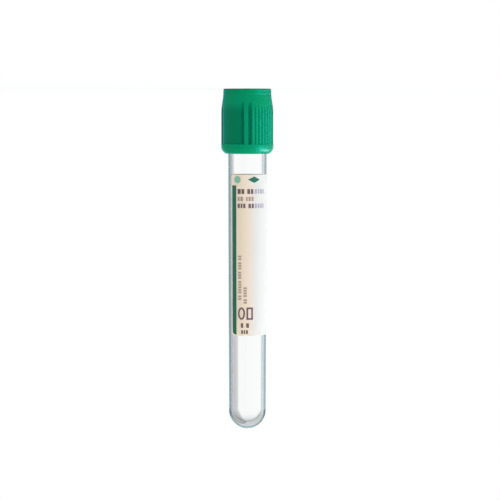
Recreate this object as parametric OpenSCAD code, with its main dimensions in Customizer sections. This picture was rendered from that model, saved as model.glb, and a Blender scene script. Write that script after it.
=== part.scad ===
// Blood collection tube, 13 x 100 mm class: a clear moulded tube with a wrapped paper label, closed by
// a rubber stopper that is captured inside a ribbed plastic shield.
// Every piece is drawn upright, round the Z axis, with the tip of the tube at zero and the front
// towards -Y. stood() then turns it over about Y, as it rests: on the flat top of its closure, because
// it can't stand on its round foot and rolls when it lies.
// Units are millimetres and degrees.

/* [Tube] */
// Length from the rim to the tip of the round foot
tube_len = 100; // [95:1:125]
// Outer diameter at the rim
tube_rim_d = 12.85; // [12.6:0.05:13]
// Outer diameter where the round foot begins
tube_foot_d = 12.2; // [11.8:0.05:12.5]
// Thickness of the side wall
tube_wall = 1.05; // [0.8:0.05:1.2]
// Thickness at the tip of the round foot
tube_tip_wall = 1.8; // [1:0.1:3]
// Bevel on both edges of the rim
tube_rim_bevel = 0.15; // [0.05:0.05:0.3]

/* [Label] */
// Height of the label's lower edge above the tip
label_foot = 31.5; // [12:0.5:34]
// Length of the label along the tube
label_len = 53.4; // [30:0.1:55]
// How far the label wraps round the tube
label_wrap = 302; // [120:1:350]
// Where the label starts, counted to the right from the front
label_start = -53.6; // [-90:0.1:0]
// Thickness of the label
label_t = 0.1; // [0.06:0.01:0.2]
// Layer of glue under the label
label_glue = 0.02; // [0.01:0.01:0.05]
// Radius of the label's four corners
label_corner_r = 1; // [0.5:0.1:3]

/* [Stopper] */
// How far the plug reaches down into the tube
plug_len = 8.2; // [6:0.1:9]
// Radial clearance between the plug and the tube
plug_gap = 0.05; // [0.02:0.01:0.08]
// Lead-in bevel at the end of the plug
plug_bevel = 0.5; // [0.2:0.1:1]
// Diameter of the hollow in the plug's underside
plug_hollow_d = 6.4; // [6.2:0.1:7.4]
// Diameter of the flange that lies on the rim
flange_d = 14.3; // [13.6:0.1:14.6]
// Height of the flange
flange_h = 4.4; // [3:0.1:5]
// Height of the button above the flange
button_h = 4.2; // [3:0.1:4.4]
// Diameter of the needle well in the button
well_d = 4.8; // [4.2:0.1:6]
// Depth of the needle well
well_depth = 3; // [2:0.1:4]
// Depth of the shallow dish round the well
dish_depth = 0.4; // [0.2:0.1:0.8]
// Thickness of rubber that the needle goes through
septum_t = 3.4; // [2.5:0.1:4.5]

/* [Shield] */
// How far the skirt reaches down past the rim
skirt_len = 8.25; // [6:0.05:10]
// Height of the shield above the rim
shield_head = 13.3; // [12.6:0.1:15]
// Inner diameter of the skirt
skirt_bore_d = 14; // [13.6:0.05:14.2]
// Clearance round the stopper's flange and button
seat_gap = 0.05; // [0.02:0.01:0.1]
// Outer diameter at the top of the collar
collar_top_d = 15.85; // [15.4:0.05:16]
// Outer diameter at the bottom of the collar
collar_foot_d = 16.1; // [15.9:0.05:16.3]
// Height of the collar
collar_len = 3.1; // [2.5:0.1:4]
// Radius of the collar's upper edge
collar_edge_r = 0.35; // [0.1:0.05:0.6]
// Diameter of the mouth in the top of the shield
mouth_d = 9.8; // [9:0.1:10.6]
// Bevel round the mouth
mouth_bevel = 0.4; // [0.2:0.1:0.8]
// Height of the rounded shoulder between collar and grip
shoulder_len = 4.4; // [3:0.1:6]
// Radius of the shoulder's curve
shoulder_r = 36; // [28:1:60]
// Diameter of the bottom band
band_d = 17.35; // [17.3:0.05:18]
// Height of the bottom band
band_len = 3.15; // [3.1:0.05:4]
// Radius of the band's lower corner
band_corner_r = 2.5; // [2:0.1:2.8]

/* [Grip] */
// Diameter over the crests of all ribs
crest_d = 17.25; // [17:0.05:17.28]
// Width of each wide rib that divides the sides
divider_w = 1.42; // [1:0.02:2]
// Bevel along the edges of a wide rib
divider_bevel = 0.12; // [0.05:0.01:0.2]
// Where the front wide rib stands, counted to the right from the front
divider_turn = -2.6; // [-45:0.1:45]
// Depth of the groove on each side of a wide rib
groove_depth = 0.45; // [0.3:0.01:0.5]
// Depth of the smooth panels below the crests
panel_depth = 0.33; // [0.2:0.01:0.4]
// How far a smooth panel reaches to each side of its middle
panel_half = 32.6; // [25:0.1:36]
// Number of fine ribs on each ribbed side
reed_count = 8; // [5:1:9]
// Angle from one fine rib to the next
reed_pitch = 8.4; // [8.1:0.1:8.6]
// Radius of each fine rib
reed_r = 0.62; // [0.61:0.01:0.66]
// Depth of the gaps between fine ribs
reed_depth = 0.25; // [0.15:0.01:0.3]

/* [Hidden] */
$fn = 96;

// Sides of the grip: wide ribs stand between ribbed and smooth sides in turn
SIDES = 4;
SIDE_ANGLE = 360 / SIDES;
// Overshoot of a cutting shape past the face it cuts
PAST = 1;
// Share of the label's corner radius at which the corner's centre lies in from the edges
CORNER_SET = 0.97;
// How far the collar reaches down into the grip that it is moulded in one with
ROOT = 0.2;

foot_r = tube_foot_d / 2;
rim_r = tube_rim_d / 2;

// Radius of the tube's outside at a height above its tip
function tube_r(z) = foot_r + (rim_r - foot_r) * (z - foot_r) / (tube_len - foot_r);

// Heights above the tip of the tube
plug_foot = tube_len - plug_len;
flange_top = tube_len + flange_h;
button_top = flange_top + button_h;
well_foot = button_top - dish_depth - well_depth;
shield_foot = tube_len - skirt_len;
shield_top = tube_len + shield_head;
collar_foot = shield_top - collar_len;
shoulder_foot = collar_foot - shoulder_len;
band_top = shield_foot + band_len;

crest_r = crest_d / 2;
band_r = band_d / 2;
skirt_bore_r = skirt_bore_d / 2;
seat_r = flange_d / 2 + seat_gap;
button_r = mouth_d / 2 - seat_gap;
plug_r = tube_r(plug_foot) - tube_wall - plug_gap;

// The band's lower corner is an arc round this point; the bore cuts the arc off above its lowest point
corner_x = band_r - band_corner_r;
corner_drop = sqrt(pow(band_corner_r, 2) - pow(max(0, skirt_bore_r - corner_x), 2));
corner_z = shield_foot + corner_drop;

// The shoulder's arc runs from the foot of the collar to the crests
shoulder_rise = crest_r - collar_foot_d / 2;
shoulder_chord = sqrt(pow(shoulder_len, 2) + pow(shoulder_rise, 2));
shoulder_lean = atan(shoulder_rise / shoulder_len);
shoulder_sag = sqrt(pow(shoulder_r, 2) - pow(shoulder_chord / 2, 2));
shoulder_x = (crest_r + collar_foot_d / 2) / 2 - shoulder_sag * cos(shoulder_lean);
shoulder_z = (shoulder_foot + collar_foot) / 2 - shoulder_sag * sin(shoulder_lean);
// The arc goes on this far below the shoulder, where it is clear of the crests
shoulder_run = 0.8 * (shoulder_foot - shoulder_z);

// Stands an upright piece on the flat top of the closure
module stood() {
    translate([0, 0, shield_top]) rotate([0, 180, 0]) children();
}

// Half of a test-tube outline: a round foot of radius r whose centre is at height z, opening to top_r
module tube_outline(r, z, top_r, top) {
    intersection() {
        translate([0, z]) circle(r = r);
        translate([0, z - r]) square([r, r]);
    }
    polygon([[0, z], [r, z], [top_r, top], [0, top]]);
}

// Quarter of a disc: the side towards +X, above its centre or below it
module quarter_disc(r, up) {
    intersection() {
        circle(r = r);
        translate([0, up ? 0 : -r]) square([r, r]);
    }
}

// Slice of a disc between two angles, both counted to the right from the front
module slice(r, from, to) {
    far = 2 * r;
    mid = (from + to) / 2;
    intersection() {
        circle(r = r);
        polygon([
            [0, 0],
            [far * sin(from), -far * cos(from)],
            [far * sin(mid), -far * cos(mid)],
            [far * sin(to), -far * cos(to)],
        ]);
    }
}

// The clear tube: drafted wall, round foot, open mouth with both edges of its rim bevelled
module tube() {
    bore_foot_r = foot_r - tube_wall;
    bore_rim_r = rim_r - tube_wall;
    color([0.84, 0.9, 0.93, 0.4]) stood() difference() {
        rotate_extrude() difference() {
            tube_outline(foot_r, foot_r, rim_r, tube_len);
            tube_outline(bore_foot_r, tube_tip_wall + bore_foot_r, bore_rim_r, tube_len);
        }
        // Outer bevel
        rotate_extrude() polygon([
            [rim_r - tube_rim_bevel, tube_len],
            [rim_r + PAST, tube_len - tube_rim_bevel - PAST],
            [rim_r + PAST, tube_len + PAST],
            [rim_r - tube_rim_bevel, tube_len + PAST],
        ]);
        // Inner bevel
        translate([0, 0, tube_len - tube_rim_bevel]) cylinder(
            r1 = bore_rim_r,
            r2 = bore_rim_r + tube_rim_bevel + PAST,
            h = tube_rim_bevel + PAST
        );
    }
}

// What a rounded corner leaves of a square one: points along the radius, corner towards -X and -Z.
// The arc's centre is set in by a little less than its radius, so that the arc crosses both edges.
module corner_waste() {
    set_in = CORNER_SET * label_corner_r;
    rotate([90, 0, 0]) linear_extrude(height = foot_r + PAST) difference() {
        translate([-PAST, -PAST]) square(set_in + PAST);
        translate([set_in, set_in]) circle(r = label_corner_r);
    }
}

// Puts corner_waste() on one corner of the label; side is -1 at its start and 1 at its end
module label_corner(side, high) {
    turn = side < 0 ? label_start : label_start + label_wrap;
    z = high ? label_foot + label_len : label_foot;
    translate([0, 0, z]) rotate([0, 0, turn])
        mirror([side < 0 ? 0 : 1, 0, 0]) mirror([0, 0, high ? 1 : 0])
            translate([0, -foot_r / 2, 0]) corner_waste();
}

// The paper label, wrapped round the drafted wall with a clear strip left open at one side
module label() {
    inner_foot = tube_r(label_foot) + label_glue;
    inner_top = tube_r(label_foot + label_len) + label_glue;
    color([0.95, 0.94, 0.9]) stood() difference() {
        rotate([0, 0, label_start - 90]) rotate_extrude(angle = label_wrap) polygon([
            [inner_foot, label_foot],
            [inner_foot + label_t, label_foot],
            [inner_top + label_t, label_foot + label_len],
            [inner_top, label_foot + label_len],
        ]);
        for (side = [-1, 1], high = [false, true]) label_corner(side, high);
    }
}

// Cross-section of the grip: wide ribs with a groove on each side, and between them fine ribs on one
// side and a smooth thumb panel on the next
module grip_section() {
    circle(r = crest_r - groove_depth);
    for (side = [0:SIDES - 1]) {
        rotate(divider_turn + side * SIDE_ANGLE) divider_section();
        rotate(divider_turn + (side + 0.5) * SIDE_ANGLE)
            if (side % 2 == 0) reeded_section();
            else slice(crest_r - panel_depth, -panel_half, panel_half);
    }
}

// One wide rib, bevelled along both edges
module divider_section() {
    half = divider_w / 2;
    polygon([
        [-half, 0],
        [-half, divider_bevel - crest_r],
        [divider_bevel - half, -crest_r],
        [half - divider_bevel, -crest_r],
        [half, divider_bevel - crest_r],
        [half, 0],
    ]);
}

// The fine ribs of one side and the floor they stand on
module reeded_section() {
    reach = reed_count * reed_pitch / 2;
    slice(crest_r - reed_depth, -reach, reach);
    for (i = [0:reed_count - 1])
        rotate((i - (reed_count - 1) / 2) * reed_pitch)
            translate([0, reed_r - crest_r]) circle(r = reed_r);
}

// The space that the ribs run out into: open round the crests, closing in over the shoulder
module shoulder_limit() {
    open_top = shoulder_foot - shoulder_run;
    rotate_extrude() {
        intersection() {
            translate([shoulder_x, shoulder_z]) circle(r = shoulder_r);
            translate([0, open_top]) square([band_r + PAST, collar_foot - open_top]);
        }
        translate([0, band_top]) square([band_r + PAST, open_top - band_top]);
    }
}

// Ribbed grip between the bottom band and the collar
module grip() {
    intersection() {
        translate([0, 0, band_top]) linear_extrude(height = collar_foot - band_top) grip_section();
        shoulder_limit();
    }
}

// Plain collar above the grip, drafted, with a rounded upper edge
module collar() {
    foot_x = collar_foot_d / 2;
    edge_z = shield_top - collar_edge_r;
    edge_x = collar_top_d / 2 - collar_edge_r;
    rotate_extrude() {
        polygon([
            [0, collar_foot - ROOT],
            [foot_x - ROOT, collar_foot - ROOT],
            [foot_x - ROOT, collar_foot],
            [foot_x, collar_foot],
            [collar_top_d / 2, edge_z],
            [0, edge_z],
        ]);
        translate([edge_x, edge_z]) quarter_disc(collar_edge_r, true);
        translate([0, edge_z]) square([edge_x, collar_edge_r]);
    }
}

// Smooth band below the grip, with a large rounded lower corner
module band() {
    rotate_extrude() {
        translate([0, corner_z]) square([band_r, band_top - corner_z]);
        translate([corner_x, corner_z]) quarter_disc(band_corner_r, false);
        translate([0, corner_z - band_corner_r]) square([corner_x, band_corner_r]);
    }
}

// The space inside the shield: skirt bore, groove that captures the stopper's flange, and the mouth
module shield_space() {
    mouth_r = mouth_d / 2;
    below = corner_z - band_corner_r - PAST;
    rotate_extrude() polygon([
        [0, below],
        [skirt_bore_r, below],
        [skirt_bore_r, tube_len],
        [seat_r, tube_len],
        [seat_r, flange_top],
        [mouth_r, flange_top],
        [mouth_r, shield_top - mouth_bevel],
        [mouth_r + mouth_bevel + PAST, shield_top + PAST],
        [0, shield_top + PAST],
    ]);
}

// The moulded shield that keeps fingers off the stopper
module shield() {
    color([0.02, 0.56, 0.38]) stood() difference() {
        union() {
            band();
            grip();
            collar();
        }
        shield_space();
    }
}

// The rubber stopper: plug with a domed hollow, flange on the rim, button with a dished needle well
module stopper() {
    hollow_r = plug_hollow_d / 2;
    hollow_top = well_foot - septum_t;
    dome_z = hollow_top - hollow_r;
    well_r = well_d / 2;
    color([0.16, 0.3, 0.25]) stood() rotate_extrude() difference() {
        polygon([
            [0, plug_foot],
            [plug_r - plug_bevel, plug_foot],
            [plug_r, plug_foot + plug_bevel],
            [plug_r, tube_len],
            [flange_d / 2, tube_len],
            [flange_d / 2, flange_top],
            [button_r, flange_top],
            [button_r, button_top],
            [button_r - dish_depth, button_top],
            [well_r, button_top - dish_depth],
            [well_r, well_foot],
            [0, well_foot],
        ]);
        translate([0, dome_z]) quarter_disc(hollow_r, true);
        translate([0, plug_foot - PAST]) square([hollow_r, dome_z - plug_foot + PAST]);
    }
}

tube();
label();
shield();
stopper();
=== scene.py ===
"""Surfaces, finishes and studio for a closed blood collection tube that stands on its closure.

Every piece is drawn upright, in millimetres: the tip of the round foot at zero, the closure at the top,
the front towards -Y and angles counted to the right from the front. Stance then turns it over onto the
flat top of the closure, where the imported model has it.
"""

from __future__ import annotations

import logging
import math
from dataclasses import dataclass
from enum import Enum
from typing import Callable, Iterable, Mapping, NamedTuple, Sequence, TypeAlias

import bmesh
import bpy
from mathutils import Matrix, Vector

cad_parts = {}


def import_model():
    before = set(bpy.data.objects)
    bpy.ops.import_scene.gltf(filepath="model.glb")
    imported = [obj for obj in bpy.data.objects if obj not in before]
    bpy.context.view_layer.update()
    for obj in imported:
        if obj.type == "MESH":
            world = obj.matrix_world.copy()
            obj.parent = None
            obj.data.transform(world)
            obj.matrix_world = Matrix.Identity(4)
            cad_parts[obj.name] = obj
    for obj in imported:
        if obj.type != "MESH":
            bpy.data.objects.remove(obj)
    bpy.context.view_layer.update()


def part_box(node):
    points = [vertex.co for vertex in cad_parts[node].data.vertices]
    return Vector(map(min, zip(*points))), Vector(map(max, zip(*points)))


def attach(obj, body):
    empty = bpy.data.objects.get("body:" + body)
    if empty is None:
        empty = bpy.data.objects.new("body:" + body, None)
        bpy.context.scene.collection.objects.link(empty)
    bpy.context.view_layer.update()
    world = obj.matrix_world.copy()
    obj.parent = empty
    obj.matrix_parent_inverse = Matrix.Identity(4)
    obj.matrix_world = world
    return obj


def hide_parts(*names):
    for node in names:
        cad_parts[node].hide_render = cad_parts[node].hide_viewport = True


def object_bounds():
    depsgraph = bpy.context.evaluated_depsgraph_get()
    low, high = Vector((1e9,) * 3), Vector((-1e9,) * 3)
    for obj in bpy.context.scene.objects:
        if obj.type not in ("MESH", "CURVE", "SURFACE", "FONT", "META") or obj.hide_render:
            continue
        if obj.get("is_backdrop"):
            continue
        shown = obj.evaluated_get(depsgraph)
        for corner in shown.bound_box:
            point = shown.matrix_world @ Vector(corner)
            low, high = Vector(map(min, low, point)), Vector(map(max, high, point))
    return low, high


LOG = logging.getLogger("collection_tube")
MM = 0.001  # a millimetre in metres
ON_AXIS = 1e-6  # a radius below this is a point on the axis

Point = tuple[float, float]
Color = tuple[float, float, float]
Ring = list[bmesh.types.BMVert]
Edge = Callable[[float], float]
Number: TypeAlias = "Wire | float"
Fed: TypeAlias = "Wire | float | str | Sequence[float] | bpy.types.Material"


class Body(Enum):
    """The two bodies of the model that pieces ride on."""

    BARREL = "barrel"
    CLOSURE = "closure"


class Ink(Enum):
    """The inks that the label is printed with, each with its colour where it lies full and where thin; one
    of them is the brown paled as painted glare.
    """

    DARK_GREEN = ((0.012, 0.135, 0.08), (0.024, 0.18, 0.115))
    LIGHT_GREEN = ((0.20, 0.46, 0.33), (0.26, 0.52, 0.39))
    BROWN = ((0.12, 0.06, 0.07), (0.2, 0.13, 0.14))
    TAN = ((0.36, 0.23, 0.21), (0.46, 0.33, 0.3))
    # Painted glare: the brown print made paler where the key lamp's glare washes it out.
    PAINTED_GLARE_BROWN = ((0.33, 0.28, 0.37), (0.45, 0.4, 0.5))


class Ramp(NamedTuple):
    """A level that eases from low, up to a start, to high, from an end on."""

    start: float
    end: float
    low: float = 0.0
    high: float = 1.0


# ---------------------------------------------------------------- outlines and meshes


@dataclass(frozen=True)
class Corner:
    """One corner of an outline.

    Attributes:
        r: Distance from the axis.
        z: Height above the tip.
        rounding: Radius of the arc that replaces the corner.
    """

    r: float
    z: float
    rounding: float = 0.0

    @property
    def place(self) -> Vector:
        """The corner's place in the outline's plane."""
        return Vector((self.r, self.z))


def arc(centre: Point, radius: float, start: float, end: float, steps: int) -> list[Point]:
    """List the points of an arc.

    Args:
        centre: Centre of the arc.
        radius: Radius of the arc.
        start: Angle of the first point in degrees, from the direction away from the axis.
        end: Angle of the last point in degrees.
        steps: Number of straight steps along the arc.

    Returns:
        The points from start to end.
    """
    angles = [math.radians(start + (end - start) * k / steps) for k in range(steps + 1)]
    return [(centre[0] + radius * math.cos(a), centre[1] + radius * math.sin(a)) for a in angles]


def rounded(corners: Sequence[Corner], steps: int = 6) -> list[Point]:
    """Walk round a closed outline and replace each corner by an arc of its rounding.

    Args:
        corners: The corners in order; the last one joins the first.
        steps: Number of straight steps along each arc.

    Returns:
        The points of the outline.
    """
    points: list[Point] = []
    for index, corner in enumerate(corners):
        if corner.rounding == 0:
            points.append((corner.r, corner.z))
            continue
        here = corner.place
        back = (corners[index - 1].place - here).normalized()
        on = (corners[(index + 1) % len(corners)].place - here).normalized()
        half = back.angle(on) / 2
        centre = here + (back + on).normalized() * corner.rounding / math.sin(half)
        start = here + back * corner.rounding / math.tan(half) - centre
        turn = start.angle_signed(here + on * corner.rounding / math.tan(half) - centre)
        for k in range(steps + 1):
            spoke = start.copy()
            spoke.rotate(Matrix.Rotation(-turn * k / steps, 2))
            points.append((centre.x + spoke.x, centre.y + spoke.y))
    return points


def straight(start: Point, end: Point, inset: float = 0.25, steps: int = 8) -> list[Point]:
    """List points on a straight run, the outer two close to its ends, so that it shades as straight.

    Args:
        start: Start of the run, which isn't listed.
        end: End of the run, which isn't listed.
        inset: Distance of the outer two points from the ends.
        steps: Number of steps between those two.

    Returns:
        The points from start to end.
    """
    near = inset / math.dist(start, end)
    shares = [near + (1 - 2 * near) * k / steps for k in range(steps + 1)]
    return [(start[0] + (end[0] - start[0]) * f, start[1] + (end[1] - start[1]) * f) for f in shares]


def around(radius: float, turn: float, z: float) -> Vector:
    """Place a point by its distance from the axis, its angle in degrees from the front and its height."""
    angle = math.radians(turn)
    return Vector((radius * math.sin(angle), -radius * math.cos(angle), z))


def skin(made: bmesh.types.BMesh, rings: Sequence[Ring], closed: bool) -> None:
    """Join each ring of points to the next one with faces; a ring of one point is a pole.

    Args:
        made: The mesh that the points are in.
        rings: The rings in order.
        closed: Whether the last ring joins the first.
    """
    followers = [*rings[1:], rings[0]] if closed else rings[1:]
    for near, far in zip(rings, followers):
        count = max(len(near), len(far))
        for k in range(count):
            after = (k + 1) % count
            pairs = ((near, k), (near, after), (far, after), (far, k))
            corners = list(dict.fromkeys(ring[index % len(ring)] for ring, index in pairs))
            if len(corners) > 2:
                made.faces.new(corners)


def lathe(outline: Sequence[Point], columns: int, closed: bool) -> bmesh.types.BMesh:
    """Turn an outline round the axis.

    Args:
        outline: Points as distance from the axis and height; a point on the axis is a pole.
        columns: Number of faces round the axis.
        closed: Whether the last point joins the first.

    Returns:
        The turned mesh, with its faces pointing outwards.
    """
    made = bmesh.new()
    rings = []
    for radius, height in outline:
        places = [around(radius, 360 * k / columns, height) for k in range(columns)]
        if radius < ON_AXIS:
            places = [Vector((0, 0, height))]
        rings.append([made.verts.new(place) for place in places])
    skin(made, rings, closed)
    bmesh.ops.recalc_face_normals(made, faces=made.faces)
    return made


def new_object(name: str, made: bmesh.types.BMesh, material: bpy.types.Material) -> bpy.types.Object:
    """Turn a finished bmesh into an object with one material.

    Args:
        name: Name of the object and its mesh.
        made: The mesh, which is freed here.
        material: Material of every face.

    Returns:
        The object, linked to the scene.
    """
    mesh = bpy.data.meshes.new(name)
    made.to_mesh(mesh)
    made.free()
    mesh.materials.append(material)
    obj = bpy.data.objects.new(name, mesh)
    bpy.context.scene.collection.objects.link(obj)
    return obj


@dataclass(frozen=True)
class Stance:
    """How the upright pieces stand in the frame, upside down on the closure.

    Attributes:
        height: Whole height of the closed tube.
    """

    height: float

    @classmethod
    def of_frame(cls) -> Stance:
        """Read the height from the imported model's box."""
        low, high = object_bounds()
        return cls(height=(high.z - low.z) / MM)

    def matrix(self) -> Matrix:
        """Give the matrix from upright millimetres to the frame's metres."""
        over = Matrix.Rotation(math.pi, 4, "Y")
        return Matrix.Translation((0, 0, self.height * MM)) @ over @ Matrix.Scale(MM, 4)

    def settle(self, obj: bpy.types.Object, sharp_over: float) -> None:
        """Shade a piece smooth and move its mesh to its place; the object itself stays at the origin.

        Args:
            obj: The piece, upright and in millimetres.
            sharp_over: Angle in degrees; edges that turn by more stay sharp.
        """
        obj.data.shade_smooth()
        obj.data.set_sharp_from_angle(angle=math.radians(sharp_over))
        obj.data.transform(self.matrix())
        obj.data.update()


# ---------------------------------------------------------------- node trees


@dataclass(frozen=True)
class Wire:
    """What a node gives to others; a wire that carries a number takes plain arithmetic.

    Attributes:
        bench: The bench that works on its tree.
        socket: The output that it comes from.
    """

    bench: NodeBench
    socket: bpy.types.NodeSocket

    def __add__(self, other: Number) -> Wire:
        """Add a number."""
        return self.bench.math("ADD", self, other)

    def __sub__(self, other: Number) -> Wire:
        """Take a number away."""
        return self.bench.math("SUBTRACT", self, other)

    def __mul__(self, other: Number) -> Wire:
        """Multiply by a number."""
        return self.bench.math("MULTIPLY", self, other)

    def __truediv__(self, other: Number) -> Wire:
        """Divide by a number."""
        return self.bench.math("DIVIDE", self, other)

    def __neg__(self) -> Wire:
        """Turn the sign."""
        return self * -1.0


class NodeBench:
    """Adds the nodes of one tree and wires them up."""

    def __init__(self, tree: bpy.types.NodeTree) -> None:
        """Start on a tree, emptied of what it holds."""
        self.tree = tree
        self.tree.nodes.clear()

    def feed(self, socket: bpy.types.NodeSocket, value: Fed) -> None:
        """Link a wire to an input, or set the input's plain value.

        Args:
            socket: The input.
            value: What it is fed with.
        """
        if isinstance(value, Wire):
            self.tree.links.new(value.socket, socket)
        else:
            socket.default_value = value

    def node(
        self,
        kind: str,
        *values: Fed,
        inputs: Mapping[str | int, Fed] | None = None,
        output: str | int = 0,
        **settings: object,
    ) -> Wire:
        """Add a node and feed it.

        Args:
            kind: Name of the kind of node.
            values: What its first inputs are fed with, in order.
            inputs: What other inputs are fed with, by name or index.
            output: Name or index of the output that is wanted.
            settings: The node's properties.

        Returns:
            The wire from that output.
        """
        node = self.tree.nodes.new(kind)
        for name, setting in settings.items():
            setattr(node, name, setting)
        for key, value in {**dict(enumerate(values)), **(inputs or {})}.items():
            self.feed(node.inputs[key], value)
        return Wire(self, node.outputs[output])

    def math(self, operation: str, *values: Number) -> Wire:
        """Add one math step of one to three numbers."""
        return self.node("ShaderNodeMath", *values, operation=operation)

    def eased(self, value: Wire, start: Number, end: Number, low: float = 0.0, high: float = 1.0) -> Wire:
        """Ease from low, where a value is at start, to high, where it is at end."""
        course = "SMOOTHSTEP"
        return self.node("ShaderNodeMapRange", value, start, end, low, high, interpolation_type=course)

    def between(self, factor: Wire, low: Number, high: Number) -> Wire:
        """Map a factor of 0 to 1 to the range from low to high."""
        return self.node("ShaderNodeMapRange", factor, 0.0, 1.0, low, high)

    def parts(self, vector: Wire) -> list[Wire]:
        """Split a vector into its three parts."""
        split = self.node("ShaderNodeSeparateXYZ", vector).socket.node
        return [Wire(self, output) for output in split.outputs]


class ShaderBench(NodeBench):
    """Builds the shaders of a material or of the surroundings."""

    def glow(self, kind: str, strength: Number, color: Color = (1.0, 1.0, 1.0)) -> Wire:
        """Add an Emission or a Background of a strength and colour."""
        return self.node(f"ShaderNode{kind}", (*color, 1.0), strength)

    def mixed(self, factor: Wire, first: Wire, second: Wire) -> Wire:
        """Mix two shaders by a factor."""
        return self.node("ShaderNodeMixShader", factor, first, second)

    def shown_to(self, ray: str, shown: Wire, otherwise: Wire) -> Wire:
        """Show one shader to a kind of ray and another to the rest."""
        return self.mixed(self.node("ShaderNodeLightPath", output=f"Is {ray} Ray"), otherwise, shown)

    def close(self, kind: str, shader: Wire) -> None:
        """Add the output of a World or a Material and feed it with a shader."""
        self.feed(self.tree.nodes.new(f"ShaderNodeOutput{kind}").inputs["Surface"], shader)


class MaterialBench(ShaderBench):
    """Builds one material from nodes."""

    def __init__(self, name: str) -> None:
        """Start an empty material.

        Args:
            name: Name of the material.
        """
        self.material = bpy.data.materials.new(name)
        self.material.use_nodes = True
        super().__init__(self.material.node_tree)

    def plastic(self, **inputs: Fed) -> Wire:
        """Add a Principled shader; its inputs are named with underscores for spaces."""
        spaced = {name.replace("_", " "): value for name, value in inputs.items()}
        return self.node("ShaderNodeBsdfPrincipled", inputs=spaced)

    def place(self) -> Wire:
        """Give the piece's own coordinates in metres."""
        return self.node("ShaderNodeTexCoord", output="Object")

    def attribute(self, name: str) -> Wire:
        """Read a number that is stored on the mesh."""
        return self.node("ShaderNodeAttribute", output="Fac", attribute_name=name)

    def grain(self, size: float, detail: float) -> Wire:
        """Give noise in patches of about a size in millimetres, with a number of finer layers."""
        inputs = {"Vector": self.place(), "Scale": 1 / (size * MM), "Detail": detail}
        return self.node("ShaderNodeTexNoise", inputs=inputs, output="Fac")

    def blend(self, factor: Wire, first: Color, second: Color) -> Wire:
        """Blend two colours by a factor."""
        inputs = {0: factor, 6: (*first, 1.0), 7: (*second, 1.0)}
        return self.node("ShaderNodeMix", inputs=inputs, output=2, data_type="RGBA")

    def tinted(self, color: Wire, factor: Wire) -> Wire:
        """Multiply a colour by a grey factor."""
        return self.node("ShaderNodeVectorMath", color, inputs={"Scale": factor}, operation="SCALE")

    def relief(self, height: Wire, depth: float) -> Wire:
        """Give the normal that a height raises, its full range being a depth in millimetres."""
        inputs = {"Strength": 1.0, "Distance": depth * MM, "Height": height}
        return self.node("ShaderNodeBump", inputs=inputs, output="Normal")

    def done(self, shader: Wire) -> bpy.types.Material:
        """Send a shader to the output and give the material."""
        self.close("Material", shader)
        return self.material


class GeometryTree(NodeBench):
    """Builds one Geometry Nodes tree with named sizes."""

    def __init__(self, name: str) -> None:
        """Start a tree that takes and gives geometry.

        Args:
            name: Name of the tree.
        """
        super().__init__(bpy.data.node_groups.new(name, "GeometryNodeTree"))
        for direction in ("INPUT", "OUTPUT"):
            self.tree.interface.new_socket("Geometry", in_out=direction, socket_type="NodeSocketGeometry")
        self.start = self.tree.nodes.new("NodeGroupInput")
        self.end = self.tree.nodes.new("NodeGroupOutput")
        self.values: dict[str, float] = {}

    @property
    def geometry(self) -> Wire:
        """The geometry that the tree is given."""
        return Wire(self, self.start.outputs["Geometry"])

    @property
    def position(self) -> Wire:
        """The place of each point."""
        return self.node("GeometryNodeInputPosition")

    def size(self, name: str, value: float) -> Wire:
        """Add a named input and remember the value it gets.

        Args:
            name: Name of the input.
            value: Its value on the modifier.

        Returns:
            The input's wire inside the tree.
        """
        item = self.tree.interface.new_socket(name, in_out="INPUT", socket_type="NodeSocketFloat")
        item.default_value = value
        self.values[item.identifier] = value
        return Wire(self, self.start.outputs[name])

    def vector(self, x: Number, y: Number, z: Number) -> Wire:
        """Make a vector of three numbers."""
        return self.node("ShaderNodeCombineXYZ", x, y, z)

    def moved(self, geometry: Wire, place: Wire, only: Wire | bool = True) -> Wire:
        """Set the places of a geometry's points, of all or only of some."""
        inputs = {"Geometry": geometry, "Position": place, "Selection": only}
        return self.node("GeometryNodeSetPosition", inputs=inputs)

    def realized(self, geometry: Wire) -> Wire:
        """Turn instances into plain geometry."""
        return self.node("GeometryNodeRealizeInstances", geometry)

    def finish(self, geometry: Wire, material: bpy.types.Material) -> None:
        """Realize the instances, set the material and close the tree.

        Args:
            geometry: What the tree gives.
            material: Material of every face.
        """
        inputs = {"Geometry": self.realized(geometry), "Material": material}
        self.feed(self.end.inputs["Geometry"], self.node("GeometryNodeSetMaterial", inputs=inputs))

    def run_on(self, obj: bpy.types.Object) -> None:
        """Run the tree on an object and keep the result as its plain mesh.

        Args:
            obj: The object, whose mesh is replaced.
        """
        modifier = obj.modifiers.new(self.tree.name, "NODES")
        modifier.node_group = self.tree
        for identifier, value in self.values.items():
            modifier[identifier] = value
        bpy.context.view_layer.update()
        evaluated = obj.evaluated_get(bpy.context.evaluated_depsgraph_get())
        mesh = bpy.data.meshes.new_from_object(evaluated)
        obj.modifiers.clear()
        obj.data = mesh


# ---------------------------------------------------------------- finishes


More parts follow.
